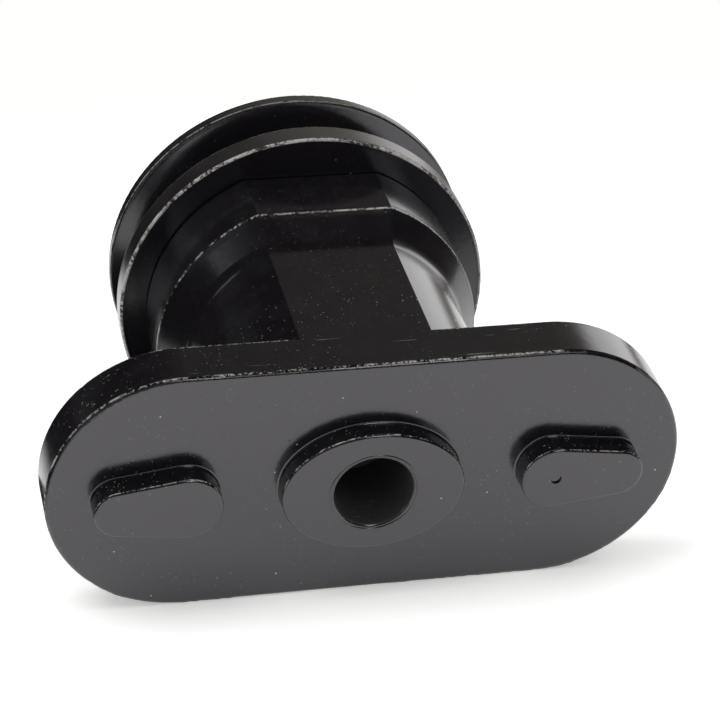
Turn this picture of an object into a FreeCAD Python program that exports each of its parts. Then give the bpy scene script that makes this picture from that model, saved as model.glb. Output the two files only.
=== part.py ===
import FreeCAD, Part
import math
import os

from FreeCAD import Vector

# Flanged track roller on a bolt-on foot. Sizes in millimetres.
# The roller turns about the Y axis. The foot's face is the plane Y = 0, the roller is on its +Y side,
# X runs along the foot and Z is up. The origin is on the axis of the foot's threaded hole.

# Bearings: two alike, side by side on one shaft
journal_r = 10.0
bearing_outer_r = 18.5
bearing_width = 9.0
race_wall = 1.7
race_side = 1.6
race_edge = 0.5
land_share = 0.6875
ball_clearance = 0.15
ball_gap = 1.9
cage_share = 0.875
cage_rim = 0.9
pocket_clearance = 0.2
bearing_spacing = 3.0

# Foot: a plate with round ends, an oval boss and two tapered keys
foot_length = 104.0
flat_wall = 3.5
foot_thick = 9.5
foot_edge = 0.8
boss_half_length = 14.9
boss_half_width = 11.07
boss_height = 3.5
key_end_margin = 7.2
key_inner_r = 5.7
key_outer_r = 4.28
key_lobe_spacing = 10.5
key_height = 4.0
cast_edge = 0.5
cast_root = 0.35
dot_r = 0.9
dot_depth = 0.35

# Threaded anchor hole, at the thread's inner diameter, with a rounded mouth
anchor_r = 6.45
anchor_mouth = 0.6
drill_half_angle = 59.0
cavity_floor = 2.6

# Neck and collar: round, with two flats flush with the foot's long edges
flat_depth = 2.45
neck_length = 25.3
flare_length = 6.6
flare_rise = 3.75
flare_root_r = 4.0
collar_length = 12.2
collar_edge = 0.2
neck_edge = 0.4

# Grease cavity and its plug
head_clearance = 2.0
cavity_length = 6.5
plug_r = 2.5
plug_length = 5.0
plug_sink = 0.4
plug_socket_r = 1.45
plug_socket_depth = 2.6
grease_channel_r = 1.0

# Housing ring and shaft seal
circlip_thick = 1.5
circlip_depth = 0.9
circlip_width = 3.0
circlip_side_gap = 0.05
circlip_opening = 9.0
circlip_eye_r = 1.9
circlip_eye_hole_r = 0.8
seal_step = 2.5
seal_width = 5.0
seal_recess = 0.5
seal_back_gap = 0.5
seal_sheet = 1.0
nose_wall = 3.0
seal_lip_clearance = 0.05
seal_lip_height = 1.85
seal_lip_length = 1.6
seal_web = 0.9
garter_r = 0.5

# Spool
running_gap = 0.35
inner_flange_r = 32.75
inner_flange_width = 4.6
groove_width = 9.8
groove_r = 25.0
groove_round = 1.6
flank_angle = 18.0
outer_flange_r = 32.6
outer_flange_width = 2.4
flange_edge = 0.5
nose_relief = 0.6
hub_recess_depth = 5.5

# Shaft, key, washer and nut
head_rise = 2.0
head_end_gap = 1.5
thread_step = 2.0
shaft_draw = 0.5
thread_beyond_nut = 1.3
shaft_chamfer = 0.8
key_width = 6.0
key_depth_in_shaft = 3.5
key_rise = 2.5
shaft_key_length = 11.0
key_end_gap = 1.2
washer_r = 13.5
washer_thick = 2.0
nut_across_flats = 24.0
nut_height = 8.0
nut_chamfer = 1.2
oring_r = 0.85
oring_groove_width = 2.2
oring_offset = 3.0

# Dust cap over the nut
cap_wall = 1.2
cap_seat = 4.5
cap_step = 1.65
cap_side_clearance = 0.3
cap_top_clearance = 1.2
cap_round = 4.0

# Places along Y, from the foot's face to the roller's outer end
foot_width = 2 * (bearing_outer_r + flat_wall)
neck_r = foot_width / 2 + flat_depth
neck_end = foot_thick + neck_length
flare_end = neck_end + flare_length
collar_end = flare_end + collar_length
seal_end = collar_end - seal_recess
seal_start = seal_end - seal_width
circlip_start = seal_start - seal_back_gap - circlip_thick
bearing_a_start = circlip_start - bearing_width
bearing_b_start = bearing_a_start - bearing_spacing - bearing_width
cavity_start = bearing_b_start - cavity_length
drill_point = anchor_r / math.tan(math.radians(drill_half_angle))
anchor_depth = cavity_start - cavity_floor - drill_point
spool_start = collar_end + running_gap
groove_start = spool_start + inner_flange_width
groove_end = groove_start + groove_width
spool_end = groove_end + outer_flange_width
flank_slope = math.tan(math.radians(flank_angle))
hub_end = spool_end - hub_recess_depth
nut_start = hub_end + washer_thick
shaft_end = nut_start + nut_height + thread_beyond_nut

# Inside of the bearings: the largest ball that leaves race_wall under it and race_side beside it
pitch_r = (journal_r + bearing_outer_r) / 2
ball_r = min((bearing_outer_r - journal_r) / 2 - race_wall, bearing_width / 2 - race_side) - ball_clearance
ball_count = int(math.pi / math.asin((ball_r + ball_gap / 2) / pitch_r))
inner_race_r = pitch_r - land_share * ball_r
outer_race_r = pitch_r + land_share * ball_r
cage_thick = cage_share * ball_r
cage_width = 2 * (ball_r + pocket_clearance + cage_rim)

# Radii that follow from the shaft, the bearings and the nut
head_r = journal_r + head_rise
cavity_r = head_r + head_clearance
thread_r = journal_r - thread_step
seal_journal_r = journal_r + nose_wall
nut_corner_r = nut_across_flats / math.sqrt(3)
cap_crown_r = nut_corner_r + cap_side_clearance + cap_wall
hub_recess_r = cap_crown_r + cap_step
seal_outer_r = bearing_outer_r + seal_step
seal_lip_r = seal_journal_r + seal_lip_clearance
seal_lip_top_r = seal_lip_r + seal_lip_height
seal_web_r = seal_lip_top_r + 2 * garter_r + seal_web

X_AXIS = Vector(1, 0, 0)
Y_AXIS = Vector(0, 1, 0)
Z_AXIS = Vector(0, 0, 1)
ORIGIN = Vector(0, 0, 0)


def closed_face(edges):
    """Face inside a closed loop of edges given in order."""
    return Part.Face(Part.Wire(edges))


def polyline(points):
    """Straight edges from each point to the next."""
    return [Part.LineSegment(a, b).toShape() for a, b in zip(points, points[1:])]


def turned(profile):
    """Solid of revolution about Y from a closed list of (radius, y) corners."""
    corners = [Vector(r, y, 0) for r, y in profile]
    return closed_face(polyline(corners + corners[:1])).revolve(ORIGIN, Y_AXIS, 360)


def rod(radius, start, end):
    """Cylinder on the Y axis between two places."""
    return Part.makeCylinder(radius, end - start, Vector(0, start, 0), Y_AXIS)


def ring(inner, outer, start, end, edge=0.0):
    """Tube on the Y axis, with its four edges chamfered when edge is given."""
    if edge == 0.0:
        return turned([(inner, start), (outer, start), (outer, end), (inner, end)])
    return turned([
        (inner + edge, start), (outer - edge, start), (outer, start + edge), (outer, end - edge),
        (outer - edge, end), (inner + edge, end), (inner, end - edge), (inner, start + edge),
    ])


def torus(major, minor, y):
    """O-ring shape round the Y axis."""
    return Part.makeTorus(major, minor, Vector(0, y, 0), Y_AXIS)


def hexagon(across_flats, start, end):
    """Six-sided bar on the Y axis, with a flat facing up."""
    corner_r = across_flats / math.sqrt(3)
    corners = [
        Vector(corner_r * math.cos(math.radians(60 * i)), start, corner_r * math.sin(math.radians(60 * i)))
        for i in range(7)
    ]
    return closed_face(polyline(corners)).extrude(Y_AXIS * (end - start))


# ------------------------------------------------------------------ foot and housing

def foot_plate():
    """Plate with half-round ends and a rounded outline."""
    half = foot_length / 2 - foot_width / 2
    side = foot_width / 2
    outline = [
        Part.LineSegment(Vector(-half, 0, -side), Vector(half, 0, -side)).toShape(),
        Part.Arc(Vector(half, 0, -side), Vector(half + side, 0, 0), Vector(half, 0, side)).toShape(),
        Part.LineSegment(Vector(half, 0, side), Vector(-half, 0, side)).toShape(),
        Part.Arc(Vector(-half, 0, side), Vector(-half - side, 0, 0), Vector(-half, 0, -side)).toShape(),
    ]
    plate = closed_face(outline).extrude(Y_AXIS * foot_thick)
    rims = [e for e in plate.Edges if e.BoundBox.YLength < foot_thick / 2]
    return plate.makeFillet(foot_edge, rims)


def outer_edges(solid, y):
    """Edges of a solid that lie in the plane at y."""
    return [e for e in solid.Edges if e.BoundBox.YLength < cast_edge and abs(e.BoundBox.YMin - y) < cast_edge / 2]


def boss():
    """Oval boss round the anchor hole, with a rounded outer edge."""
    outline = Part.Ellipse(
        Vector(boss_half_length, -boss_height, 0), Vector(0, -boss_height, boss_half_width),
        Vector(0, -boss_height, 0),
    ).toShape()
    body = closed_face([outline]).extrude(Y_AXIS * (boss_height + foot_thick / 2))
    return body.makeFillet(cast_edge, outer_edges(body, -boss_height))


def foot_key(side):
    """Tapered key: a big and a small round lobe joined by their tangents. side is +1 or -1."""
    small_x = foot_length / 2 - key_end_margin - key_outer_r
    big_x = small_x - key_lobe_spacing
    tilt = math.acos((key_inner_r - key_outer_r) / key_lobe_spacing)

    def on_lobe(centre_x, radius, angle):
        x = centre_x + radius * math.cos(angle)
        return Vector(side * x, -key_height, radius * math.sin(angle))

    outline = [
        Part.Arc(
            on_lobe(big_x, key_inner_r, tilt), on_lobe(big_x, key_inner_r, math.pi),
            on_lobe(big_x, key_inner_r, -tilt),
        ).toShape(),
        Part.LineSegment(
            on_lobe(big_x, key_inner_r, -tilt), on_lobe(small_x, key_outer_r, -tilt),
        ).toShape(),
        Part.Arc(
            on_lobe(small_x, key_outer_r, -tilt), on_lobe(small_x, key_outer_r, 0),
            on_lobe(small_x, key_outer_r, tilt),
        ).toShape(),
        Part.LineSegment(
            on_lobe(small_x, key_outer_r, tilt), on_lobe(big_x, key_inner_r, tilt),
        ).toShape(),
    ]
    body = closed_face(outline).extrude(Y_AXIS * (key_height + foot_thick / 2))
    key = body.makeFillet(cast_edge, outer_edges(body, -key_height))
    if side > 0:
        dot = Part.makeCylinder(dot_r, 2 * dot_depth, Vector(big_x, -key_height - dot_depth, 0), Y_AXIS)
        key = key.cut(dot)
    return key


def flared_face(base, out):
    """Half section of neck, flare and collar, from the axis out to base and beyond along out.

    The flare is an arc that leaves the neck along it, and a cone from there to the collar's arris.
    """
    def at(height, y):
        return out * height + Y_AXIS * y

    beside = flare_rise - flare_root_r
    slope = math.atan2(beside, flare_length) + math.asin(flare_root_r / math.hypot(flare_length, beside))
    top = base + flare_rise

    def on_root(angle):
        return at(base + flare_root_r * (1 - math.cos(angle)), neck_end + flare_root_r * math.sin(angle))

    before = polyline([at(0, foot_thick / 2), at(base, foot_thick / 2), on_root(0)])
    root = [Part.Arc(on_root(0), on_root(slope / 2), on_root(slope)).toShape()]
    cone = polyline([on_root(slope), at(top, flare_end)])
    after = polyline([
        at(top, flare_end), at(top, collar_end - collar_edge), at(top - collar_edge, collar_end),
        at(0, collar_end), at(0, foot_thick / 2),
    ])
    return closed_face(before + root + cone + after)


def is_cast_corner(edge):
    """True for the edges between the round and the flats, and for those where the flare meets the collar."""
    box = edge.BoundBox
    ridge = box.YLength > flare_length / 2 and box.XMin * box.XMax > 0 and box.ZMin * box.ZMax > 0
    arris = box.YLength < neck_edge and abs(box.YMin - flare_end) < neck_edge
    return ridge or arris


def neck_and_collar():
    """Round neck and collar with two flats, one above and one below."""
    barrel = flared_face(neck_r, X_AXIS).revolve(ORIGIN, Y_AXIS, 360)
    reach = neck_r + 2 * flare_rise
    upper = flared_face(foot_width / 2, Z_AXIS)
    upper.translate(X_AXIS * -reach)
    upper = upper.extrude(X_AXIS * 2 * reach)
    lower = upper.mirror(ORIGIN, Z_AXIS)
    body = barrel.common(upper.fuse(lower).removeSplitter())
    return body.makeFillet(neck_edge, [e for e in body.Edges if is_cast_corner(e)])


def anchor_hole():
    """Blind threaded hole with a drill point, as the solid to cut away."""
    return turned([
        (0, -2 * boss_height), (anchor_r, -2 * boss_height), (anchor_r, anchor_depth),
        (0, anchor_depth + drill_point),
    ])


def housing_bore():
    """Stepped bore for the grease cavity, bearings, retaining ring and seal, as the solid to cut away."""
    groove_r_out = bearing_outer_r + circlip_depth
    cavity = rod(cavity_r, cavity_start, bearing_b_start)
    seats = rod(bearing_outer_r, bearing_b_start, seal_start)
    clip_groove = rod(groove_r_out, circlip_start - circlip_side_gap,
                      circlip_start + circlip_thick + circlip_side_gap)
    seal_seat = rod(seal_outer_r, seal_start, collar_end + collar_edge)
    return cavity.fuse([seats, clip_groove, seal_seat]).removeSplitter()


def plug_y():
    """Place of the grease plug along Y, in the middle of the grease cavity."""
    return cavity_start + cavity_length / 2


def plug_hole():
    """Hole for the grease plug, in the lower flat, with its channel into the cavity."""
    bottom = -foot_width / 2
    seat = Part.makeCylinder(plug_r, plug_length + plug_sink + 1, Vector(0, plug_y(), bottom - 1), Z_AXIS)
    channel = Part.makeCylinder(grease_channel_r, foot_width / 2, Vector(0, plug_y(), bottom), Z_AXIS)
    return seat.fuse(channel)


def foot_bracket():
    """One casting: foot, boss, keys, neck and collar, bored for the bearings."""
    blank = foot_plate().fuse([neck_and_collar(), boss(), foot_key(1), foot_key(-1)]).removeSplitter()
    roots = [
        e for e in blank.Edges
        if e.BoundBox.YLength < cast_root and abs(e.BoundBox.YMin) < cast_root
        and e.BoundBox.ZMax < boss_half_width + cast_root
    ]
    blank = blank.makeFillet(cast_root, roots).cut(anchor_hole())
    mouth = [e for e in outer_edges(blank, -boss_height) if abs(e.BoundBox.ZMax - anchor_r) < cast_edge]
    return blank.makeFillet(anchor_mouth, mouth).cut([housing_bore(), plug_hole()])


def grease_plug():
    """Socket-headed plug sunk in the lower flat."""
    bottom = -foot_width / 2 + plug_sink
    body = Part.makeCylinder(plug_r, plug_length, Vector(0, plug_y(), bottom), Z_AXIS)
    socket = hexagon(plug_socket_r * math.sqrt(3), 0, plug_socket_depth)
    socket.rotate(ORIGIN, X_AXIS, 90)
    socket.translate(Vector(0, plug_y(), bottom))
    return body.cut(socket)


# ------------------------------------------------------------------ bearings

def raceway(start):
    """Ring that both races are grooved with, wider than the balls by the running clearance."""
    return torus(pitch_r, ball_r + ball_clearance, start + bearing_width / 2)


def inner_race(start):
    """Inner ring of a bearing, on the shaft."""
    return ring(journal_r, inner_race_r, start, start + bearing_width, race_edge).cut(raceway(start))


def outer_race(start):
    """Outer ring of a bearing, in the housing."""
    return ring(outer_race_r, bearing_outer_r, start, start + bearing_width, race_edge).cut(raceway(start))


def ball_angles():
    """Directions of the balls round the axis, in degrees."""
    return [360.0 * i / ball_count for i in range(ball_count)]


def balls(start):
    """The balls of one bearing, as separate solids."""
    middle = start + bearing_width / 2
    made = []
    for angle in ball_angles():
        turn = math.radians(angle)
        centre = Vector(pitch_r * math.cos(turn), middle, pitch_r * math.sin(turn))
        made.append(Part.makeSphere(ball_r, centre))
    return Part.makeCompound(made)


def cage(start):
    """Ring that spaces the balls, with a round pocket for each."""
    middle = start + bearing_width / 2
    body = ring(pitch_r - cage_thick / 2, pitch_r + cage_thick / 2,
                middle - cage_width / 2, middle + cage_width / 2)
    pockets = []
    for angle in ball_angles():
        turn = math.radians(angle)
        out = Vector(math.cos(turn), 0, math.sin(turn))
        foot = out * (pitch_r - cage_thick) + Y_AXIS * middle
        pockets.append(Part.makeCylinder(ball_r + pocket_clearance, 2 * cage_thick, foot, out))
    return body.cut(pockets)


def inner_spacer():
    """Tube between the inner rings."""
    return ring(journal_r, inner_race_r, bearing_b_start + bearing_width, bearing_a_start)


def outer_spacer():
    """Tube between the outer rings."""
    return ring(outer_race_r, bearing_outer_r, bearing_b_start + bearing_width, bearing_a_start)


def housing_circlip():
    """Open ring that holds the bearings in the housing, with two eyes beside its gap."""
    outer = bearing_outer_r + circlip_depth
    inner = outer - circlip_width
    end = circlip_start + circlip_thick
    hoop = ring(inner, outer, circlip_start, end)
    half_gap = circlip_opening / 2
    gap = Part.makeBox(circlip_opening, circlip_thick, outer, Vector(-half_gap, circlip_start, 0))
    clip = hoop.cut(gap)
    eye_z = math.sqrt(inner ** 2 - half_gap ** 2)
    for side in (-1, 1):
        place = Vector(side * (half_gap + circlip_eye_r / 2), circlip_start, eye_z)
        eye = Part.makeCylinder(circlip_eye_r, circlip_thick, place, Y_AXIS)
        hole = Part.makeCylinder(circlip_eye_hole_r, circlip_thick, place, Y_AXIS)
        clip = clip.fuse(eye).cut(hole)
    return clip.removeSplitter()


# ------------------------------------------------------------------ shaft seal

def seal_case():
    """Pressed steel shell of the seal: a tube with an inward flange at its outer end."""
    inside = seal_outer_r - seal_sheet
    return turned([
        (seal_outer_r, seal_start), (seal_outer_r, seal_end), (seal_web_r, seal_end),
        (seal_web_r, seal_end - seal_sheet), (inside, seal_end - seal_sheet), (inside, seal_start),
    ])


def seal_lip():
    """Rubber lip, moulded to the case's flange and reaching in to the spool's nose."""
    tip = seal_start + seal_web
    waist_r = seal_lip_r + seal_web
    return turned([
        (seal_web_r, seal_end), (waist_r, seal_end), (waist_r, tip + seal_lip_length),
        (seal_lip_r, tip + seal_lip_length / 2), (waist_r, tip), (seal_lip_top_r, tip),
        (seal_lip_top_r, seal_end - seal_sheet), (seal_web_r, seal_end - seal_sheet),
    ])


def seal_spring():
    """Garter spring that presses the lip, as a plain ring."""
    return torus(seal_lip_top_r + garter_r, garter_r, seal_start + seal_web + garter_r)


# ------------------------------------------------------------------ spool and shaft

def key_y():
    """First and last place of the spool key along Y."""
    end = hub_end - key_end_gap
    return end - shaft_key_length, end


def spool_blank():
    """Turned shape of the spool, with sharp edges. The groove's flanks lean back from the flanges' rims."""
    floor_start = groove_start + (inner_flange_r - groove_r) * flank_slope
    floor_end = groove_end - (outer_flange_r - groove_r) * flank_slope
    nose_start = bearing_a_start + bearing_width
    return turned([
        (journal_r, nose_start), (seal_journal_r - nose_relief, nose_start),
        (seal_journal_r - nose_relief, seal_start), (seal_journal_r, seal_start + nose_relief),
        (seal_journal_r, spool_start), (inner_flange_r, spool_start), (inner_flange_r, groove_start),
        (groove_r, floor_start), (groove_r, floor_end),
        (outer_flange_r, groove_end), (outer_flange_r, spool_end),
        (hub_recess_r + flange_edge, spool_end), (hub_recess_r, spool_end - flange_edge),
        (hub_recess_r, hub_end), (journal_r, hub_end),
    ])


def circles_at(solid, radii):
    """Circles of a turned solid whose radius is one of those given."""
    return [
        e for e in solid.Edges
        if e.BoundBox.YLength < flange_edge and min(abs(e.BoundBox.ZMax - r) for r in radii) < flange_edge / 10
    ]


def spool():
    """Roller with a flange each side of its groove, a nose for the seal and a recess for the nut."""
    body = spool_blank()
    body = body.makeFillet(flange_edge, circles_at(body, [inner_flange_r, outer_flange_r]))
    body = body.makeFillet(groove_round, circles_at(body, [groove_r]))
    start, _ = key_y()
    keyway = Part.makeBox(key_width, hub_end - start, journal_r + key_rise, Vector(-key_width / 2, start, 0))
    return body.cut(keyway)


def shaft():
    """Shaft with a head at its inner end, a key seat, an O-ring groove and a threaded outer end."""
    head_start = cavity_start + head_end_gap
    shoulder = hub_end - shaft_draw
    body = turned([
        (0, head_start), (head_r - shaft_chamfer, head_start), (head_r, head_start + shaft_chamfer),
        (head_r, bearing_b_start), (journal_r, bearing_b_start), (journal_r, shoulder),
        (thread_r, shoulder), (thread_r, shaft_end - shaft_chamfer), (thread_r - shaft_chamfer, shaft_end),
        (0, shaft_end),
    ])
    start, end = key_y()
    seat_floor = journal_r - key_depth_in_shaft
    seat = Part.makeBox(key_width, end - start, key_depth_in_shaft, Vector(-key_width / 2, start, seat_floor))
    middle = oring_y()
    groove = ring(journal_r - 2 * oring_r, journal_r,
                  middle - oring_groove_width / 2, middle + oring_groove_width / 2)
    return body.cut([seat, groove])


def oring_y():
    """Place of the O-ring inside the spool's nose."""
    return bearing_a_start + bearing_width + oring_offset


def shaft_oring():
    """O-ring between the shaft and the spool's nose."""
    return torus(journal_r - oring_r, oring_r, oring_y())


def spool_key():
    """Square key that makes the spool and the shaft turn together."""
    start, end = key_y()
    seat_floor = journal_r - key_depth_in_shaft
    height = key_depth_in_shaft + key_rise
    return Part.makeBox(key_width, end - start, height, Vector(-key_width / 2, start, seat_floor))


def hub_washer():
    """Thick washer under the nut."""
    return ring(thread_r, washer_r, hub_end, nut_start)


def hub_nut():
    """Hexagon nut with its outer corners chamfered."""
    top = nut_start + nut_height
    body = hexagon(nut_across_flats, nut_start, top)
    cone = turned([(0, nut_start), (nut_corner_r, nut_start), (nut_corner_r, top - nut_chamfer / 2),
                   (nut_corner_r - nut_chamfer, top), (0, top)])
    return body.common(cone).cut(rod(thread_r, nut_start, top))


def dust_cap():
    """Pressed steel cap in the spool's recess, domed over the nut."""
    rim = spool_end - cap_seat
    top = shaft_end + cap_top_clearance + cap_wall
    flat_r = cap_crown_r - cap_round

    def at(r, y):
        return Vector(r, y, 0)

    turn = 1 - math.sqrt(0.5)
    outer_corner = at(flat_r + cap_round * (1 - turn), top - cap_round * turn)
    inner_round = cap_round - cap_wall
    inner_corner = at(flat_r + inner_round * (1 - turn), top - cap_wall - inner_round * turn)
    edges = polyline([
        at(hub_recess_r - cap_wall, rim), at(hub_recess_r, rim), at(hub_recess_r, spool_end),
        at(cap_crown_r, spool_end + cap_wall), at(cap_crown_r, top - cap_round),
    ])
    edges.append(Part.Arc(at(cap_crown_r, top - cap_round), outer_corner, at(flat_r, top)).toShape())
    edges += polyline([at(flat_r, top), at(0, top), at(0, top - cap_wall), at(flat_r, top - cap_wall)])
    edges.append(Part.Arc(at(flat_r, top - cap_wall), inner_corner,
                          at(cap_crown_r - cap_wall, top - cap_round)).toShape())
    edges += polyline([
        at(cap_crown_r - cap_wall, top - cap_round), at(cap_crown_r - cap_wall, spool_end),
        at(hub_recess_r - cap_wall, spool_end - cap_wall), at(hub_recess_r - cap_wall, rim),
    ])
    return closed_face(edges).revolve(ORIGIN, Y_AXIS, 360)


# ------------------------------------------------------------------ all nodes

NODES = {
    "foot_bracket": foot_bracket(),
    "grease_plug": grease_plug(),
    "outer_race_a": outer_race(bearing_a_start),
    "outer_race_b": outer_race(bearing_b_start),
    "outer_spacer": outer_spacer(),
    "housing_circlip": housing_circlip(),
    "seal_case": seal_case(),
    "seal_lip": seal_lip(),
    "seal_spring": seal_spring(),
    "spool": spool(),
    "shaft": shaft(),
    "shaft_oring": shaft_oring(),
    "spool_key": spool_key(),
    "inner_race_a": inner_race(bearing_a_start),
    "inner_race_b": inner_race(bearing_b_start),
    "inner_spacer": inner_spacer(),
    "hub_washer": hub_washer(),
    "hub_nut": hub_nut(),
    "dust_cap": dust_cap(),
    "cage_a": cage(bearing_a_start),
    "cage_b": cage(bearing_b_start),
    "balls_a": balls(bearing_a_start),
    "balls_b": balls(bearing_b_start),
}

os.makedirs("parts", exist_ok=True)
for name, shape in NODES.items():
    shape.exportStep(os.path.join("parts", name + ".step"))
    box = shape.BoundBox
    print("%-16s solids %2d  valid %s  volume %9.1f  Y %6.2f to %6.2f" % (
        name, len(shape.Solids), shape.isValid(), shape.Volume, box.YMin, box.YMax))
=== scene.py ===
"""Looks of the flanged track roller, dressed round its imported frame.

Lengths are in metres, in the frame's own axes: Y is the roller's axis, the foot's face is at Y = 0,
the roller is on its +Y side, X runs along the foot and Z is up.
"""

import logging
import math
from dataclasses import dataclass
from enum import Enum
from typing import Any, Sequence

import bmesh
import bpy
import numpy as np
from mathutils import Matrix, Vector


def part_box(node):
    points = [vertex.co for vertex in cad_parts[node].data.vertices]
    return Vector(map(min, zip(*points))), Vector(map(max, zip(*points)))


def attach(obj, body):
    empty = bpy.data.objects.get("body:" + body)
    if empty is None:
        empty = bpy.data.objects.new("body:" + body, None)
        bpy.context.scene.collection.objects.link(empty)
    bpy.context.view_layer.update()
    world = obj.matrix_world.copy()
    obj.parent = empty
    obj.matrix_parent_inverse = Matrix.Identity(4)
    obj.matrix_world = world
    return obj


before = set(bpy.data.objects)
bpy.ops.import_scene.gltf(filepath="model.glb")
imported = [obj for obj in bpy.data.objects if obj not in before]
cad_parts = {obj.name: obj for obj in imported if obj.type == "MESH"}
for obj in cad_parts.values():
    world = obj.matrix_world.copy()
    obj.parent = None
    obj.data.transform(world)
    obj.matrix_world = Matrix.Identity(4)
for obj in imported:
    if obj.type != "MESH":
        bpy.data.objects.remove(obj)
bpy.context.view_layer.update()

LOG = logging.getLogger("track_roller")
MM = 0.001
ROUND_INSET = 1.0 - math.sqrt(0.5)
BEAD_PITCH, FINE_PITCH = 0.14 * MM, 0.12 * MM
STEEL, STEEL_STAIN = (0.42, 0.41, 0.4), (0.24, 0.22, 0.2)
GROUND, GROUND_STAIN = (0.56, 0.56, 0.55), (0.4, 0.39, 0.37)
BRASS = (0.62, 0.43, 0.17)


# ---------------------------------------------------------------------------------------- sockets

class Value:
    """A shader socket, with arithmetic that builds the nodes it needs."""

    def __init__(self, tree: "Tree", source: Any) -> None:
        """Wraps a socket.

        Args:
            tree: The tree that new nodes are added to.
            source: An output socket.
        """
        self.tree = tree
        self.source = source

    def _math(self, operation: str, *others: Any) -> "Value":
        """Adds a Math node on this value and others."""
        return self.tree.math(operation, self, *others)

    def __add__(self, other: Any) -> "Value":
        """Sum."""
        return self.tree.math("ADD", self, other)

    def __radd__(self, other: Any) -> "Value":
        """Sum with a number on the left."""
        return self.tree.math("ADD", other, self)

    def __sub__(self, other: Any) -> "Value":
        """Difference."""
        return self.tree.math("SUBTRACT", self, other)

    def __rsub__(self, other: Any) -> "Value":
        """Difference with a number on the left."""
        return self.tree.math("SUBTRACT", other, self)

    def __mul__(self, other: Any) -> "Value":
        """Product."""
        return self.tree.math("MULTIPLY", self, other)

    def __rmul__(self, other: Any) -> "Value":
        """Product with a number on the left."""
        return self.tree.math("MULTIPLY", other, self)

    def __truediv__(self, other: Any) -> "Value":
        """Quotient."""
        return self.tree.math("DIVIDE", self, other)

    def absolute(self) -> "Value":
        """Size without sign."""
        return self._math("ABSOLUTE")

    def at_most(self, other: Any) -> "Value":
        """The smaller of two."""
        return self._math("MINIMUM", other)

    def at_least(self, other: Any) -> "Value":
        """The larger of two."""
        return self._math("MAXIMUM", other)

    def root(self) -> "Value":
        """Square root."""
        return self._math("SQRT")


class Tree:
    """Node tree of one material or world, with short ways to add to it."""

    def __init__(self, node_tree: bpy.types.NodeTree) -> None:
        """Empties a node tree.

        Args:
            node_tree: The tree to fill.
        """
        self.nodes = node_tree.nodes
        self.links = node_tree.links
        self.nodes.clear()

    def node(self, kind: str, settings: dict[str, Any] | None = None, **inputs: Any) -> bpy.types.Node:
        """Adds a node: its settings first, then its sockets.

        Args:
            kind: Node type without the ShaderNode prefix.
            settings: Attributes of the node, such as operation.
            inputs: Socket name with spaces as underscores, or its number after an s, to a value or link.

        Returns:
            The new node.
        """
        made = self.nodes.new("ShaderNode" + kind)
        for name, value in (settings or {}).items():
            setattr(made, name, value)
        for name, value in inputs.items():
            numbered = name[0] == "s" and name[1:].isdigit()
            socket = made.inputs[int(name[1:])] if numbered else made.inputs[name.replace("_", " ")]
            self.feed(socket, value)
        return made

    def feed(self, socket: bpy.types.NodeSocket, value: Any) -> None:
        """Links a Value or a node's first output to a socket, or sets a constant on it."""
        if isinstance(value, Value):
            self.links.new(value.source, socket)
        elif isinstance(value, bpy.types.Node):
            self.links.new(value.outputs[0], socket)
        elif isinstance(value, (tuple, list)) and socket.type == "RGBA":
            socket.default_value = (*value[:3], 1.0)
        else:
            socket.default_value = value

    def value(self, node: bpy.types.Node, output: int | str = 0) -> Value:
        """One output of a node as a Value."""
        return Value(self, node.outputs[output])

    def math(self, operation: str, *values: Any) -> Value:
        """Adds a Math node.

        Args:
            operation: Name of the operation.
            values: Numbers or Values for its sockets, in order.

        Returns:
            The result.
        """
        sockets = {f"s{i}": v for i, v in enumerate(values)}
        return self.value(self.node("Math", {"operation": operation}, **sockets))

    def step(self, low: float, high: float, value: Value) -> Value:
        """Smooth step from 0 at low to 1 at high."""
        return self.value(self.node(
            "MapRange", {"interpolation_type": "SMOOTHSTEP", "clamp": True},
            s0=value, s1=low, s2=high, s3=0.0, s4=1.0,
        ))

    def fade(self, near: float, far: float, value: Value) -> Value:
        """Smooth step from 1 at near to 0 at far."""
        return 1.0 - self.step(near, far, value)

    def band(self, rise: tuple[float, float], fall: tuple[float, float], value: Value) -> Value:
        """1 between rise and fall, 0 outside, with a smooth step over each of those two spans."""
        return self.step(*rise, value) * self.fade(*fall, value)

    def blend(self, share: Any, first: Any, second: Any) -> Value:
        """Colour between first at 0 and second at 1."""
        made = self.node("Mix", {"data_type": "RGBA", "clamp_factor": True})
        self.feed(made.inputs[0], share)
        self.feed(made.inputs[6], first)
        self.feed(made.inputs[7], second)
        return self.value(made, 2)

    def place(self) -> Value:
        """Object coordinates in metres."""
        return self.value(self.node("TexCoord"), "Object")

    def apart(self, vector: Value) -> tuple[Value, Value, Value]:
        """The three parts of a vector."""
        made = self.node("SeparateXYZ", s0=vector)
        return self.value(made, 0), self.value(made, 1), self.value(made, 2)

    def noise(self, place: Value, size: float, detail: float = 2.0, rough: float = 0.5,
              warp: float = 0.0) -> Value:
        """Noise from 0 to 1 whose grain is about size metres across."""
        made = self.node("TexNoise", {"noise_dimensions": "3D"}, Vector=place, Scale=1.0 / size,
                         Detail=detail, Roughness=rough, Distortion=warp)
        return self.value(made)

    def specks(self, place: Value, size: float, share: float, radius: float) -> Value:
        """Small round spots.

        Each cell of size metres holds a point, and a cell is used when its random value is under share. A
        second random value makes the spots from 0.35 to 1 of the full radius.

        Args:
            place: Coordinates.
            size: Cell size in metres.
            share: Share of cells with a spot.
            radius: Largest spot radius as a part of the cell.

        Returns:
            1 in a spot, 0 outside.
        """
        made = self.node("TexVoronoi", {"feature": "F1"}, Vector=place, Scale=1.0 / size, Randomness=1.0)
        near = self.value(made, "Distance")
        chance, other, _ = self.apart(self.value(made, "Color"))
        inside = self.fade(radius * 0.55, radius, near / (0.35 + 0.65 * other))
        return inside * self.math("LESS_THAN", chance, share)


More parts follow.
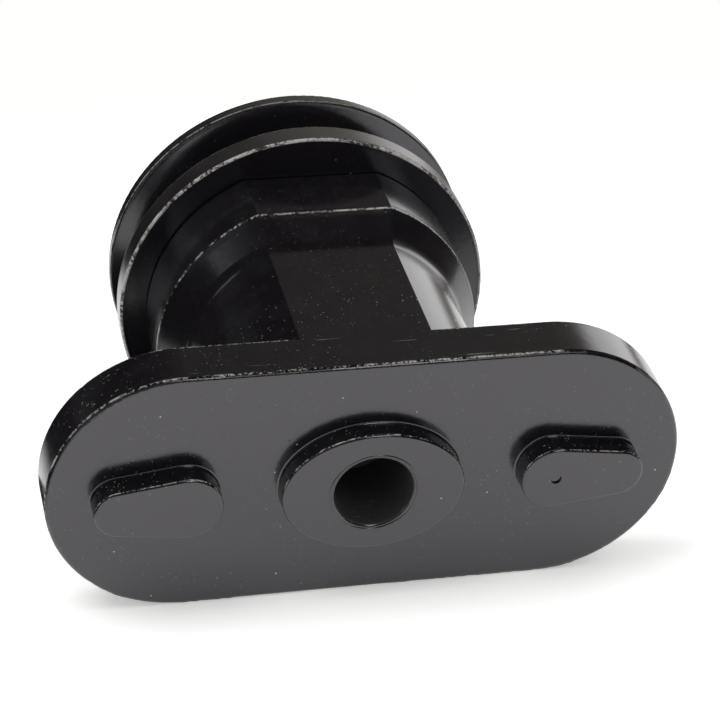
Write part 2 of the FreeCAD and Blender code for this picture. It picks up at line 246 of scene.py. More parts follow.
# ---------------------------------------------------------------------------------------- sizes

@dataclass(frozen=True)
class FootSizes:
    """Sizes of the foot, its hole and the collar, as the casting has them.

    The outline_round is the radius of the foot's arrises. The collar_inset and lip_gap say how far inside
    the collar's outline and outside the hole's rounded mouth their beads run, and bore_end is a place
    along Y just past the straight part of the hole.
    """

    half_width: float = 22.0 * MM
    straight: float = 30.0 * MM
    thick: float = 9.5 * MM
    neck_r: float = 24.45 * MM
    flare_end: float = 41.4 * MM
    collar_r: float = 28.2 * MM
    collar_flat: float = 25.75 * MM
    hole_r: float = 6.45 * MM
    hole_mouth: float = 0.6 * MM
    lip_gap: float = 0.05 * MM
    bore_end: float = 13.0 * MM
    boss_face: float = -3.5 * MM
    outline_round: float = 0.8 * MM
    collar_inset: float = 0.18 * MM


@dataclass(frozen=True)
class RollerSizes:
    """Sizes of the spool's flanges: radii, both faces along Y, and the radius of their arrises."""

    inner_r: float = 32.75 * MM
    outer_r: float = 32.6 * MM
    inner_flange: tuple[float, float] = (53.95 * MM, 58.55 * MM)
    outer_flange: tuple[float, float] = (68.35 * MM, 70.75 * MM)
    flange_round: float = 0.5 * MM


# ---------------------------------------------------------------------------------------- finishes

def new_material(name: str) -> tuple[bpy.types.Material, Tree]:
    """Makes an empty node material.

    Args:
        name: Its name.

    Returns:
        The material and its tree.
    """
    made = bpy.data.materials.new(name)
    made.use_nodes = True
    return made, Tree(made.node_tree)


def close_material(tree: Tree, bump: Value, strength: float, height: float, **inputs: Any) -> None:
    """Adds the shader and the output.

    Args:
        tree: Tree of the material.
        bump: Height from 0 to 1.
        strength: Strength of the bump.
        height: What a bump of 1 stands for, in metres.
        inputs: Sockets of the Principled shader.
    """
    normal = tree.node("Bump", Strength=strength, Distance=height, Height=bump)
    shader = tree.node("BsdfPrincipled", Normal=normal, **inputs)
    tree.node("OutputMaterial", Surface=shader)


class Part(Enum):
    """Which piece a coat of enamel is on."""

    FOOT = "foot"
    SPOOL = "spool"


@dataclass(frozen=True)
class Enamel:
    """Gloss black enamel over a casting: deep black, fine orange peel, dust, worn arrises, painted edge
    highlights and rim sheen.
    """

    name: str
    part: Part
    black: tuple[float, float, float] = (0.0042, 0.0036, 0.0048)
    dust: tuple[float, float, float] = (0.5, 0.49, 0.46)
    bare_and_glint: tuple[float, float, float] = (0.42, 0.41, 0.39)
    rim_scuff_and_sheen: tuple[float, float, float] = (0.062, 0.057, 0.05)
    tint: tuple[float, float, float] = (0.98, 0.95, 1.0)
    gloss: float = 0.11
    dullest: float = 0.9
    index: float = 1.78
    foot: FootSizes = FootSizes()
    roller: RollerSizes = RollerSizes()

    def spool_arris(self, tree: Tree, y: Value, radius: Value) -> tuple[Value, Value]:
        """Arrises of the spool: both radius and place along Y are close to a flange's corner.

        The outer flange's radius is so little smaller that the inner one's is used for all four corners.

        Args:
            tree: Tree of the material.
            y: Place along the axis.
            radius: Distance from the axis.

        Returns:
            The thin worn line and the wider zone round it, each from 0 to 1.
        """
        sizes = self.roller
        across = (radius - sizes.inner_r).absolute()
        front = (y - sizes.inner_flange[0]).absolute().at_least(across)
        others = [(y - edge).absolute() for edge in (sizes.inner_flange[1], *sizes.outer_flange)]
        rest = others[0].at_most(others[1].at_most(others[2])).at_least(across)
        front_line = tree.fade(0.28 * MM, 0.55 * MM, front)
        rest_line = 0.9 * tree.fade(0.12 * MM, 0.32 * MM, rest)
        return front_line.at_least(rest_line), tree.fade(0.3 * MM, 1.0 * MM, front.at_most(rest))

    def foot_arris(self, tree: Tree, x: Value, y: Value, z: Value, radius: Value) -> tuple[Value, Value]:
        """Arrises of the foot, its keys and boss, and the collar.

        The distance from the foot's outline is sqrt(max(|x| - h, 0)^2 + z^2) - w, with h half of its
        straight length and w half of its width. An arris is where that and the distance from a face are
        both small.
        The neck hides the rear arris, and the front one has no worn line round the foot's right end. The
        collar's own arris is a place along Y on its outside. The rounded edges of the keys and the boss are
        where they stand clear of the foot and the surface leans between facing out and along the axis.
        There the line is kept to the upward-facing part: it is worn paint and also a painted highlight.

        Args:
            tree: Tree of the material.
            x: Place along the foot.
            y: Place along the axis.
            z: Height.
            radius: Distance from the axis.

        Returns:
            The thin worn line, which on the keys and boss is also a painted highlight, and the wider zone
            round it, each from 0 to 1.
        """
        sizes = self.foot
        away = 5 * MM
        beyond = (x.absolute() - sizes.straight).at_least(0.0)
        outline = ((beyond * beyond + z * z).root() - sizes.half_width).absolute()
        front = y.absolute() + away * tree.step(sizes.straight, sizes.straight + 6 * MM, x)
        hidden = tree.fade(sizes.neck_r + 0.3 * MM, sizes.neck_r + 0.9 * MM, radius)
        rear = (y - sizes.thick).absolute() + hidden * away
        face = front.at_most(rear)
        round_side = (radius - sizes.collar_r).absolute()
        flat_side = (z.absolute() - sizes.collar_flat).absolute()
        on_collar = round_side.at_most(flat_side)
        collar = (y - sizes.flare_end - 0.1 * MM).absolute()
        foot_line = tree.fade(0.06 * MM, 0.2 * MM, outline) * tree.fade(0.55 * MM, 0.85 * MM, face)
        collar_line = tree.fade(0.12 * MM, 0.3 * MM, collar) * tree.fade(0.4 * MM, 0.8 * MM, on_collar)
        _, lean, up = tree.apart(tree.value(tree.node("NewGeometry"), "Normal"))
        lean = lean.absolute()
        rounded = tree.band((0.15, 0.25), (0.45, 0.6), lean)
        raised = tree.fade(-2.9 * MM, -2.6 * MM, y) * tree.step(7.6 * MM, 8.2 * MM, radius)
        # Painted highlight: bare colour on the upward-facing part of the keys' and boss's rounded top
        # edges, partly worn paint and partly standing for the glint there.
        raised_wear_and_glint = 0.92 * rounded * raised * tree.step(0.1, 0.35, up)
        zone = outline.at_least(face).at_most(collar.at_least(on_collar))
        return foot_line.at_least(collar_line).at_least(raised_wear_and_glint), tree.fade(0.3 * MM, 1.1 * MM, zone)

    def dust_cover(self, tree: Tree, place: Value, faces_up: Value) -> Value:
        """Dust: fine and middling specks that settled in patches, a few coarse ones, and drag marks.

        Fine and middling specks thin out along the neck, and the drag marks lie on the foot's edge alone.

        Args:
            tree: Tree of the material.
            place: Object coordinates.
            faces_up: The normal's upward part.

        Returns:
            The cover from 0 to 1.
        """
        x, y, z = tree.apart(place)
        thick = self.foot.thick
        broad = tree.noise(place, 14 * MM, 3.0)
        near_foot = 1.0 - 0.75 * tree.step(thick + 4 * MM, thick + 22 * MM, y)
        settled = tree.step(0.36, 0.6, broad) * near_foot * (0.4 + 0.6 * tree.step(0.1, 0.8, faces_up))
        fine = tree.specks(place, 0.6 * MM, 0.5, 0.27) * settled
        middling = tree.specks(place, 1.3 * MM, 0.5, 0.14) * (0.1 + 0.9 * settled)
        coarse = tree.specks(place, 3.2 * MM, 0.5, 0.065) * near_foot
        drawn = tree.value(tree.node("CombineXYZ", s0=x * 0.05, s1=y, s2=z))
        drags = tree.step(0.7, 0.74, tree.noise(drawn, 0.55 * MM, 2.0, 0.5)) * tree.step(0.5, 0.8, faces_up)
        drags = drags * tree.fade(thick - 0.2 * MM, thick, y)
        return (0.4 * fine).at_least(0.55 * middling).at_least(0.8 * coarse).at_least(0.3 * drags)

    def material(self) -> bpy.types.Material:
        """Builds the material.

        Returns:
            The enamel.
        """
        made, tree = new_material(self.name)
        place = tree.place()
        x, y, z = tree.apart(place)
        radius = (x * x + z * z).root()
        faces_up = tree.apart(tree.value(tree.node("NewGeometry"), "Normal"))[2]
        patchy = tree.noise(place, 4 * MM, 3.0, 0.6)
        peel = tree.noise(place, 1.5 * MM, 2.0, 0.45)
        cast = tree.noise(place, 0.3 * MM, 3.0, 0.6)
        crumbs = tree.noise(place, 0.55 * MM, 4.0, 0.7, 0.5)
        dusty = self.dust_cover(tree, place, faces_up)
        pits = tree.specks(place, 3.5 * MM, 0.35, 0.08)
        brushed = self.brushed(tree, x, y, z)
        if self.part is Part.SPOOL:
            line, zone = self.spool_arris(tree, y, radius)
            worn, wear = 0.95, (0.43, 0.53)
        else:
            line, zone = self.foot_arris(tree, x, y, z, radius)
            worn, wear = 0.75, (0.48, 0.56)
        # On the foot these chips also carry the painted highlight along the keys' and boss's top edges.
        edge_wear_and_glint = line * tree.step(*wear, 0.6 * crumbs + 0.4 * patchy)
        haze = 0.35 * tree.step(0.35, 0.8, patchy) * tree.step(0.1, 0.8, faces_up) * brushed
        colour = tree.blend(0.04 * haze, self.black, self.dust)
        colour = tree.blend(0.75 * dusty, colour, self.dust)
        colour = tree.blend(worn * edge_wear_and_glint, colour, self.bare_and_glint)
        rough = self.gloss + 0.05 * patchy + 0.35 * dusty + 0.35 * edge_wear_and_glint + 0.03 * cast + 0.05 * brushed
        if self.part is Part.SPOOL:
            # Painted sheen: the rim's scuffed tone is partly real wear and partly painted light, faint on
            # the left and full towards +X, where the rim catches more light.
            rim_r = self.roller.outer_r
            rim = tree.step(rim_r - 0.2 * MM, rim_r - 0.02 * MM, radius)
            rim = rim * (0.12 + 0.88 * tree.step(-26 * MM, 10 * MM, x))
            colour = tree.blend(rim * (0.55 + 0.4 * patchy) * (1.0 - edge_wear_and_glint), colour, self.rim_scuff_and_sheen)
            rough = rough + 0.1 * rim
        else:
            hole_r, bore_end = self.foot.hole_r, self.foot.bore_end
            inside = tree.fade(hole_r + 0.05 * MM, hole_r + 0.15 * MM, radius)
            bore = inside * tree.fade(bore_end, bore_end + 1 * MM, y)
            colour = tree.blend(0.03 * bore, colour, self.dust)
            rough = rough + 0.5 * bore
        bump = 0.55 * peel + 0.1 * cast + zone * crumbs * 1.8 + 0.5 * dusty - 0.8 * pits + 0.12 * brushed
        close_material(
            tree, bump, 0.4, 0.06 * MM,
            Base_Color=colour, Roughness=rough.at_most(self.dullest),
            IOR=self.index, Specular_Tint=self.tint,
        )
        return made

    @staticmethod
    def brushed(tree: Tree, x: Value, y: Value, z: Value) -> Value:
        """Fine brush or file marks under the paint: noise drawn out along Y.

        Args:
            tree: Tree of the material.
            x: Place along the foot.
            y: Place along the axis.
            z: Height.

        Returns:
            Their height from 0 to 1.
        """
        drawn = tree.value(tree.node("CombineXYZ", s0=x, s1=y * 0.12, s2=z))
        return tree.noise(drawn, 0.35 * MM, 3.0, 0.6)


@dataclass(frozen=True)
class Turned:
    """Bare turned or ground steel, brass or plated sheet with fine rings round the axis."""

    name: str
    colour: tuple[float, float, float]
    stain: tuple[float, float, float]
    gloss: float
    ring_pitch: float = 0.25 * MM

    def material(self) -> bpy.types.Material:
        """Builds the material.

        The ring height is noise read at (radius, y), so it runs round the axis.

        Returns:
            The metal.
        """
        made, tree = new_material(self.name)
        place = tree.place()
        x, y, z = tree.apart(place)
        radius = (x * x + z * z).root()
        polar = tree.value(tree.node("CombineXYZ", s0=radius, s1=y, s2=0.0))
        rings = tree.noise(polar, self.ring_pitch, 2.0, 0.6)
        cloud = tree.noise(place, 6 * MM, 4.0, 0.6)
        stain = tree.step(0.5, 0.8, cloud)
        colour = tree.blend(0.55 * stain, self.colour, self.stain)
        rough = self.gloss + 0.12 * rings + 0.18 * stain
        close_material(
            tree, rings + 0.4 * cloud, 0.3, 0.01 * MM,
            Base_Color=colour, Roughness=rough, Metallic=1.0,
        )
        return made


@dataclass(frozen=True)
class Moulded:
    """Moulded black rubber with a fine grain."""

    name: str = "moulded_rubber"

    def material(self) -> bpy.types.Material:
        """Builds the material.

        Returns:
            The rubber.
        """
        made, tree = new_material(self.name)
        place = tree.place()
        grain = tree.noise(place, 0.3 * MM, 3.0)
        bloom = tree.step(0.45, 0.8, tree.noise(place, 3 * MM, 3.0))
        colour = tree.blend(bloom, (0.012, 0.012, 0.012), (0.04, 0.04, 0.038))
        close_material(
            tree, grain, 0.4, 0.03 * MM,
            Base_Color=colour, Roughness=0.5 + 0.25 * grain,
        )
        return made


# ---------------------------------------------------------------------------------------- surfaces

def smooth_noise(count: int, knots: int, rng: np.random.Generator) -> np.ndarray:
    """Closed smooth noise from 0 to 1: random knots joined by half cosines.

    Args:
        count: Number of samples round the loop.
        knots: Number of knots round the loop.
        rng: Where the knots come from.

    Returns:
        The samples.
    """
    values = rng.random(knots)
    at = np.arange(count) * (knots / count)
    low = at.astype(int) % knots
    share = (1.0 - np.cos(np.pi * (at - np.floor(at)))) / 2
    return values[low] * (1.0 - share) + values[(low + 1) % knots] * share


def stadium(half: float, radius: float, y: float, pitch: float) -> tuple[np.ndarray, np.ndarray]:
    """Closed outline of two half circles joined by straights, in the plane at y.

    The path length s runs from 0 to 4 half + 2 pi radius. On a straight the point is (half - s, radius);
    on an arc it is centre + radius (cos a, sin a), where a grows by s / radius.

    Args:
        half: Half of the straight's length.
        radius: Radius of the ends.
        y: Place along the axis.
        pitch: Distance between samples.

    Returns:
        Points and outward directions.
    """
    straight, arc = 2 * half, math.pi * radius
    length = 2 * (straight + arc)
    s = np.linspace(0.0, length, int(length / pitch), endpoint=False)
    side = np.floor(s / (straight + arc))
    t = s - side * (straight + arc)
    angle = np.pi / 2 + np.maximum(t - straight, 0.0) / radius
    x = half - np.minimum(t, straight)
    sign = np.where(side == 0, 1.0, -1.0)
    out = np.stack([np.cos(angle), np.zeros_like(s), np.sin(angle)], axis=1)
    points = np.stack([x, np.zeros_like(s), np.zeros_like(s)], axis=1) + radius * out
    points, out = points * sign[:, None], out * sign[:, None]
    points[:, 1] = y
    return points, out


def flatted_circle(radius: float, flat: float, y: float, pitch: float) -> tuple[np.ndarray, np.ndarray]:
    """Closed outline of a circle cut by an upper and a lower flat, in the plane at y.

    At angle a the distance from the axis is min(radius, flat / |sin a|).

    Args:
        radius: Radius of the circle.
        flat: Height of the flats. One that is larger than the radius leaves a plain circle.
        y: Place along the axis.
        pitch: Distance between samples.

    Returns:
        Points and outward directions.
    """
    angle = np.linspace(0.0, 2 * np.pi, int(2 * np.pi * radius / pitch), endpoint=False)
    ray = np.stack([np.cos(angle), np.zeros_like(angle), np.sin(angle)], axis=1)
    reach = np.minimum(radius, flat / np.maximum(np.abs(ray[:, 2]), 1e-9))
    on_flat = (reach < radius)[:, None]
    out = np.where(on_flat, np.stack([0 * angle, 0 * angle, np.sign(ray[:, 2])], axis=1), ray)
    points = ray * reach[:, None]
    points[:, 1] = y
    return points, out


def bead_mesh(name: str, points: np.ndarray, out: np.ndarray, radius: np.ndarray, sink: float,
              sides: int = 8) -> bpy.types.Object:
    """Closed bead of paint along a loop: a ring of the given radius carried along it.

    The centre is the loop's point pushed in by sink, along the bisector of out and -Y. A vertex is
    centre + r (cos b u + sin b v), where u is that bisector and v is square to it and to the loop.

    Args:
        name: Name of the object.
        points: Loop, one row a sample.
        out: Outward direction at each sample.
        radius: Bead radius at each sample.
        sink: How far the centre is below the surface.
        sides: Number of sides of the ring.

    Returns:
        The object.
    """
    across = out * math.sqrt(0.5) + np.array([0.0, -math.sqrt(0.5), 0.0])
    other = out * math.sqrt(0.5) + np.array([0.0, math.sqrt(0.5), 0.0])
    centre = points - across * sink
    turn = np.linspace(0.0, 2 * np.pi, sides, endpoint=False)
    cosine, sine = np.cos(turn)[None, :, None], np.sin(turn)[None, :, None]
    ring = cosine * across[:, None, :] + sine * other[:, None, :]
    verts = (centre[:, None, :] + radius[:, None, None] * ring).reshape(-1, 3)
    rows = np.arange(len(points))[:, None]
    cols = np.arange(sides)[None, :]
    ahead, beside = (rows + 1) % len(points), (cols + 1) % sides
    quads = [rows * sides + cols, rows * sides + beside, ahead * sides + beside, ahead * sides + cols]
    faces = np.stack(quads, axis=2).reshape(-1, 4)
    mesh = bpy.data.meshes.new(name)
    mesh.from_pydata(verts.tolist(), [], faces.tolist())
    mesh.polygons.foreach_set("use_smooth", np.ones(len(faces), dtype=bool))
    checked = bmesh.new()
    checked.from_mesh(mesh)
    bmesh.ops.recalc_face_normals(checked, faces=checked.faces)
    checked.to_mesh(mesh)
    checked.free()
    obj = bpy.data.objects.new(name, mesh)
    bpy.context.scene.collection.objects.link(obj)
    return obj


@dataclass(frozen=True)
class PaintBead:
    """Bead of enamel that drew back along an arris as it dried: lumps, thin necks and gaps."""

    name: str
    body: str
    slot: str
    thick: float
    lump: float
    seed: int
    cover: float = 0.5

    def build(self, points: np.ndarray, out: np.ndarray, material: bpy.types.Material) -> None:
        """Makes the bead, dresses it and puts it on its body.

        Its radius is thick (0.5 + 0.5 n1) where slow noise n2 is well under cover, and a quarter of thick,
        which is below the surface, where n2 is well over it.

        Args:
            points: Loop on the arris.
            out: Outward direction at each point.
            material: What it is dressed in.
        """
        rng = np.random.default_rng(self.seed)
        step = float(np.linalg.norm(points[1] - points[0]))
        length = step * len(points)
        lumps = smooth_noise(len(points), max(int(length / self.lump), 3), rng)
        slow = smooth_noise(len(points), max(int(length / (self.lump * 9)), 3), rng)
        here = np.clip((self.cover - slow) / 0.12 + 0.5, 0.0, 1.0)
        radius = self.thick * (0.25 + here * (0.25 + 0.5 * lumps))
        obj = bead_mesh(self.name, points, out, radius, 0.4 * self.thick)
        obj.data.materials.append(material)
        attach(obj, self.body)
        LOG.info("made %s, %d faces", self.name, len(obj.data.polygons))


# ---------------------------------------------------------------------------------------- dressing

def dress(nodes: Sequence[str], material: bpy.types.Material) -> None:
    """Gives CAD nodes one material.

    Args:
        nodes: Names of the nodes.
        material: What they get.
    """
    for name in nodes:
        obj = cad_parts[name]
        obj.data.materials.clear()
        obj.data.materials.append(material)
        LOG.info("dressed %s in %s", name, material.name)


@dataclass(frozen=True)
class Casting:
    """The bracket's casting, its beads of enamel, and what is fixed in it."""

    sizes: FootSizes = FootSizes()
    foot_bead: PaintBead = PaintBead(
        "foot_bead", "bracket", "black_enamel", thick=0.16 * MM, lump=0.9 * MM, seed=7,
    )
    collar_bead: PaintBead = PaintBead(
        "collar_bead", "bracket", "black_enamel", thick=0.15 * MM, lump=0.55 * MM, seed=11, cover=0.7,
    )
    hole_lip: PaintBead = PaintBead(
        "hole_lip", "bracket", "black_enamel", thick=0.28 * MM, lump=4 * MM, seed=13, cover=2.0,
    )

    def build(self) -> None:
        """Dresses the bracket's nodes and adds its beads."""
        enamel = Enamel("casting_enamel", Part.FOOT).material()
        dress(["foot_bracket"], enamel)
        self.beads(enamel)
        plug = Turned("plug_brass", BRASS, (0.2, 0.13, 0.06), 0.28)
        dress(["grease_plug"], plug.material())
        ground = Turned("ground_race", GROUND, GROUND_STAIN, 0.12)
        dress(["outer_race_a", "outer_race_b"], ground.material())
        turned = Turned("turned_steel", STEEL, STEEL_STAIN, 0.26)
        dress(["outer_spacer", "seal_case"], turned.material())
        oiled = Turned("oiled_spring", (0.12, 0.115, 0.11), (0.05, 0.045, 0.04), 0.3)
        dress(["housing_circlip", "seal_spring"], oiled.material())
        dress(["seal_lip"], Moulded().material())

    def beads(self, enamel: bpy.types.Material) -> None:
        """Adds the beads of enamel along the foot's front arris, the collar's and the hole's mouth.

        An arris rounded by r lies r (1 - sqrt(1/2)) inside its sharp corner, both ways.

        Args:
            enamel: The casting's enamel.
        """
        sizes = self.sizes
        inset = sizes.outline_round * ROUND_INSET
        points, out = stadium(sizes.straight, sizes.half_width - inset, inset, BEAD_PITCH)
        self.foot_bead.build(points, out, enamel)
        collar_r, collar_flat = sizes.collar_r - sizes.collar_inset, sizes.collar_flat - sizes.collar_inset
        points, out = flatted_circle(collar_r, collar_flat, sizes.flare_end, FINE_PITCH)
        self.collar_bead.build(points, out, enamel)
        lip_r = sizes.hole_r + sizes.hole_mouth + sizes.lip_gap
        points, out = flatted_circle(lip_r, 2 * lip_r, sizes.boss_face, BEAD_PITCH)
        self.hole_lip.build(points, -out, enamel)


@dataclass(frozen=True)
class Roller:
    """The spool, all that turns with it, and the ball sets."""

    sizes: RollerSizes = RollerSizes()
    inner_bead: PaintBead = PaintBead(
        "inner_flange_bead", "roller", "roller_enamel", thick=0.15 * MM, lump=0.8 * MM, seed=3, cover=0.6,
    )
    outer_bead: PaintBead = PaintBead(
        "outer_flange_bead", "roller", "roller_enamel", thick=0.15 * MM, lump=0.8 * MM, seed=5, cover=0.6,
    )

    def build(self) -> None:
        """Dresses the nodes of the roller and the ball sets, and adds the beads of the flanges."""
        enamel = Enamel("roller_enamel", Part.SPOOL).material()
        dress(["spool"], enamel)
        sizes = self.sizes
        inset = sizes.flange_round * ROUND_INSET
        flanges = (
            (self.inner_bead, sizes.inner_r, sizes.inner_flange[0]),
            (self.outer_bead, sizes.outer_r, sizes.outer_flange[0]),
        )
        for bead, reach, y in flanges:
            points, out = flatted_circle(reach - inset, 2 * reach, y + inset, BEAD_PITCH)
            bead.build(points, out, enamel)
        turned = Turned("shaft_steel", STEEL, STEEL_STAIN, 0.26)
        dress(["shaft", "spool_key", "inner_spacer", "hub_washer", "hub_nut"], turned.material())
        plated = Turned("plated_cap", (0.5, 0.49, 0.46), (0.3, 0.28, 0.24), 0.24, 0.5 * MM)
        dress(["dust_cap"], plated.material())
        ground = Turned("ground_inner", GROUND, GROUND_STAIN, 0.12)
        dress(["inner_race_a", "inner_race_b", "balls_a", "balls_b"], ground.material())
        dress(["cage_a", "cage_b"], Turned("cage_brass", BRASS, (0.3, 0.2, 0.1), 0.3).material())
        dress(["shaft_oring"], Moulded("oring_rubber").material())


# ---------------------------------------------------------------------------------------- studio

@dataclass(frozen=True)
class Patch:
    """A round bright patch of the room that gloss mirrors.

    It is full within the first angle of its aim and gone beyond the second, in degrees.
    """

    aim: tuple[float, float, float]
    spread: tuple[float, float]
    bright: float


@dataclass(frozen=True)
class Strip:
    """An upright bright strip of the room: azimuth, half width and span of elevation, in degrees."""

    azimuth: float
    half_width: float
    span: tuple[float, float]
    bright: float


@dataclass(frozen=True)
class Studio:
    """White table, soft lights, the room and the camera.

    The roller lies on the lower long edge of its foot and the rim of its inner flange, so the table is
    turned about X by the angle between those two. Azimuths are in degrees, from +Y towards +X. The glow
    and the window rise over the first of their spans and fall over the second. Those along the azimuth
    are in degrees, and window_height and glow_top are the Z of a direction.
    """

    foot: FootSizes = FootSizes()
    roller: RollerSizes = RollerSizes()
    azimuth: float = 14.75
    elevation: float = 33.38
    roll: float = 4.07
    distance: float = 0.377
    aim: tuple[float, float, float] = (-3.02 * MM, 0.0, 23.31 * MM)
    lens: float = 121.9
    sensor: float = 36.0
    clip: tuple[float, float] = (0.01, 50.0)
    table_low: tuple[float, float] = (-0.22, -0.6)
    table_high: tuple[float, float] = (0.6, 0.28)
    contact_y: float = 0.4 * MM
    table_lift: float = -0.05 * MM
    card_lift: float = 0.4 * MM
    lamp_aim: tuple[float, float, float] = (0.0, 0.03, 0.0)
    white: tuple[float, float, float] = (0.88, 0.88, 0.875)
    near_white: tuple[float, float, float] = (1.0, 1.0, 0.99)
    room_light: tuple[float, float, float] = (0.76, 0.76, 0.755)
    dark_room: tuple[float, float, float] = (0.009, 0.008, 0.009)
    warm_glow: tuple[float, float, float] = (0.5, 0.43, 0.39)
    window: tuple[float, float, float] = (1.9, 1.89, 1.86)
    mirrored_shade_black: tuple[float, float, float] = (0.01, 0.01, 0.01)
    table_glow: float = 0.33
    glow_azimuth: tuple[tuple[float, float], ...] = ((-14.0, 46.0), (62.0, 90.0))
    glow_top: tuple[float, float] = (0.6, 0.78)
    glow_share: float = 0.5
    window_azimuth: tuple[tuple[float, float], ...] = ((24.0, 34.0), (54.0, 68.0))
    window_height: tuple[tuple[float, float], ...] = ((-0.2, -0.1), (0.26, 0.42))
    strip_edge: float = 0.04
    patches: tuple[Patch, ...] = (
        Patch((0.25, -0.55, 0.8), (7.0, 11.0), 6.0),
        Patch((-0.6, -0.75, 0.35), (20.0, 45.0), 0.2),
    )
    strips: tuple[Strip, ...] = (
        Strip(-41.0, 1.4, (4.0, 22.0), 1.3),
        Strip(-100.0, 2.0, (27.0, 48.0), 0.9),
    )

    def table_tilt(self) -> float:
        """Angle of the table about X, from the foot's lower edge to the inner flange's rim."""
        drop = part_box("spool")[0].z + self.foot.half_width
        return math.atan2(drop, self.roller.inner_flange[0])

    def sheet(self, name: str, low: tuple[float, float], high: tuple[float, float], lift: float,
              material: bpy.types.Material) -> bpy.types.Object:
        """Adds a flat sheet, turned as the table is.

        Args:
            name: Its name.
            low: Its least X and Y.
            high: Its greatest X and Y.
            lift: How far it is above the foot's lower edge.
            material: What it is made of.

        Returns:
            The sheet.
        """
        edge = np.array([0.0, self.contact_y, lift - self.foot.half_width])
        (west, south), (east, north) = low, high
        corners = np.array([[west, south, 0.0], [east, south, 0.0], [east, north, 0.0], [west, north, 0.0]])
        turn = np.array(Matrix.Rotation(self.table_tilt(), 3, "X"))
        mesh = bpy.data.meshes.new(name)
        mesh.from_pydata([tuple(p) for p in corners @ turn.T + edge], [], [(0, 1, 2, 3)])
        mesh.materials.append(material)
        obj = bpy.data.objects.new(name, mesh)
        bpy.context.scene.collection.objects.link(obj)
        return obj

    def table(self) -> None:
        """Adds the table, which touches the foot's lower edge and has a little light of its own."""
        made, tree = new_material("table_white")
        shader = tree.node("BsdfPrincipled", Base_Color=self.white, Roughness=0.6, Specular_IOR_Level=0.2,
                           Emission_Color=self.near_white, Emission_Strength=self.table_glow)
        tree.node("OutputMaterial", Surface=shader)
        self.sheet("table", self.table_low, self.table_high, self.table_lift, made)

    def dark_reflection_card(self, name: str, low: tuple[float, float], high: tuple[float, float],
             fade: float = 0.0) -> None:
        """Adds a black card just over the table, seen only in the gloss: a painted dark reflection of the
        table under it.

        Args:
            name: Its name.
            low: Its least X and Y.
            high: Its greatest X and Y.
            fade: Width over which its high X edge thins out.
        """
        made, tree = new_material(name)
        x, _, _ = tree.apart(tree.place())
        solid = tree.fade(high[0] - fade, high[0], x) if fade else 1.0
        card = tree.node("MixShader", s0=solid, s1=tree.node("BsdfTransparent"),
                         s2=tree.node("BsdfDiffuse", Color=self.mirrored_shade_black))
        tree.node("OutputMaterial", Surface=card)
        obj = self.sheet(name, low, high, self.card_lift, made)
        obj.visible_camera = obj.visible_diffuse = obj.visible_shadow = False

    def mirrored_room(self, tree: Tree) -> Value:
        """What the enamel mirrors of the room.

        It is a dark room with a warm glow that grows towards the right, a bright low window at the rear
        right, the round patches and the upright strips.

        Args:
            tree: Tree of the world.

        Returns:
            The colour.
        """
        direction = tree.value(tree.node("TexCoord"), "Generated")
        x, y, z = tree.apart(direction)
        azimuth = tree.math("ARCTAN2", x, y) * (180.0 / math.pi)
        glow = tree.band(*self.glow_azimuth, azimuth) * tree.fade(*self.glow_top, z)
        window = tree.band(*self.window_azimuth, azimuth) * tree.band(*self.window_height, z)
        mirrored = tree.blend(glow * self.glow_share, self.dark_room, self.warm_glow)
        mirrored = tree.blend(window, mirrored, self.window)
        for patch in self.patches:
            unit = Vector(patch.aim).normalized()
            dot = tree.node("VectorMath", {"operation": "DOT_PRODUCT"}, s0=direction, s1=unit)
            inner, outer = (math.cos(math.radians(angle)) for angle in patch.spread)
            lit = tree.step(outer, inner, tree.value(dot, "Value"))
            mirrored = tree.blend(lit, mirrored, (patch.bright,) * 3)
        soft = self.strip_edge
        for strip in self.strips:
            foot, head = (math.sin(math.radians(angle)) for angle in strip.span)
            aside = (azimuth - strip.azimuth).absolute()
            lit = tree.fade(0.6 * strip.half_width, 1.4 * strip.half_width, aside)
            lit = lit * tree.band((foot - soft, foot + soft), (head - soft, head + soft), z)
            mirrored = tree.blend(lit, mirrored, (strip.bright,) * 3)
        return mirrored

    def world(self) -> None:
        """Makes the room: white to look at, even light for the table, and its own picture in gloss."""
        world = bpy.data.worlds.new("room")
        bpy.context.scene.world = world
        world.use_nodes = True
        tree = Tree(world.node_tree)
        path = tree.node("LightPath")
        seen = tree.value(path, "Is Camera Ray")
        plain = tree.blend(seen, self.room_light, self.near_white)
        colour = tree.blend(tree.value(path, "Is Glossy Ray"), plain, self.mirrored_room(tree))
        tree.node("OutputWorld", Surface=tree.node("Background", Color=colour, Strength=1.0))

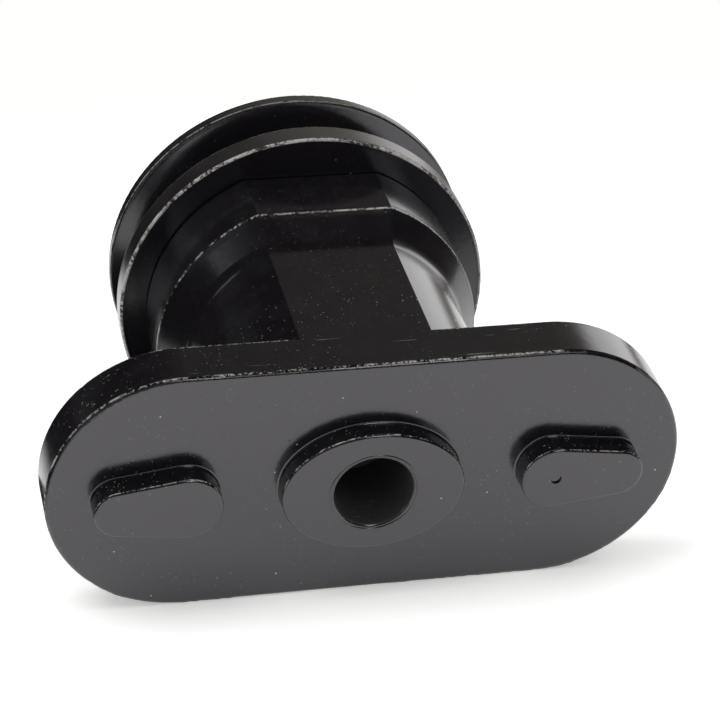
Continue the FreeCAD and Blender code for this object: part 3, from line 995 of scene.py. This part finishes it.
    def lamp(self, name: str, place: tuple[float, float, float], size: tuple[float, float],
             power: float, colour: tuple[float, float, float]) -> None:
        """Adds a soft light that faces the roller.

        Args:
            name: Its name.
            place: Where it stands.
            size: Its width and height.
            power: Watts.
            colour: Its colour.
        """
        light = bpy.data.lights.new(name, "AREA")
        light.shape = "RECTANGLE"
        light.size, light.size_y = size
        light.energy = power
        light.color = colour
        obj = bpy.data.objects.new(name, light)
        obj.location = place
        obj.rotation_euler = (Vector(place) - Vector(self.lamp_aim)).to_track_quat("Z", "Y").to_euler()
        obj.visible_glossy = False
        bpy.context.scene.collection.objects.link(obj)

    def camera(self) -> None:
        """Adds the camera from its azimuth, elevation, roll and distance."""
        azimuth, elevation = math.radians(self.azimuth), math.radians(self.elevation)
        look = Vector((math.sin(azimuth) * math.cos(elevation), math.cos(azimuth) * math.cos(elevation),
                       -math.sin(elevation)))
        data = bpy.data.cameras.new("camera")
        data.lens = self.lens
        data.sensor_width = self.sensor
        data.clip_start, data.clip_end = self.clip
        obj = bpy.data.objects.new("camera", data)
        turn = look.to_track_quat("-Z", "Y").to_matrix() @ Matrix.Rotation(math.radians(self.roll), 3, "Z")
        obj.matrix_world = Matrix.Translation(Vector(self.aim) - look * self.distance) @ turn.to_4x4()
        bpy.context.scene.collection.objects.link(obj)
        bpy.context.scene.camera = obj

    def build(self) -> None:
        """Sets the whole studio up."""
        self.table()
        self.world()
        self.lamp("rear_window", (0.8, 0.7, 0.8), (0.6, 0.6), 0.7, (1.0, 0.99, 0.97))
        self.lamp("overhead", (-0.42, 0.02, 1.0), (0.6, 0.6), 5.4, (1.0, 0.99, 0.98))
        # Painted dark reflections: these cards darken what the enamel mirrors of the table at the left, and
        # under the neck, where the table lies in the roller's shade.
        self.dark_reflection_card("left_dark_reflection_card", (-0.3, -0.1), (-0.062, 0.3), 0.045)
        self.dark_reflection_card("neck_dark_reflection_card", (-0.075, 0.012), (-0.002, 0.052))
        self.camera()
        bpy.context.scene.view_settings.view_transform = "Standard"
        bpy.context.scene.view_settings.look = "None"


def main() -> None:
    """Builds everything in order."""
    logging.basicConfig(level=logging.INFO, format="%(name)s: %(message)s")
    Casting().build()
    Roller().build()
    Studio().build()


if __name__ == "__main__":
    main()
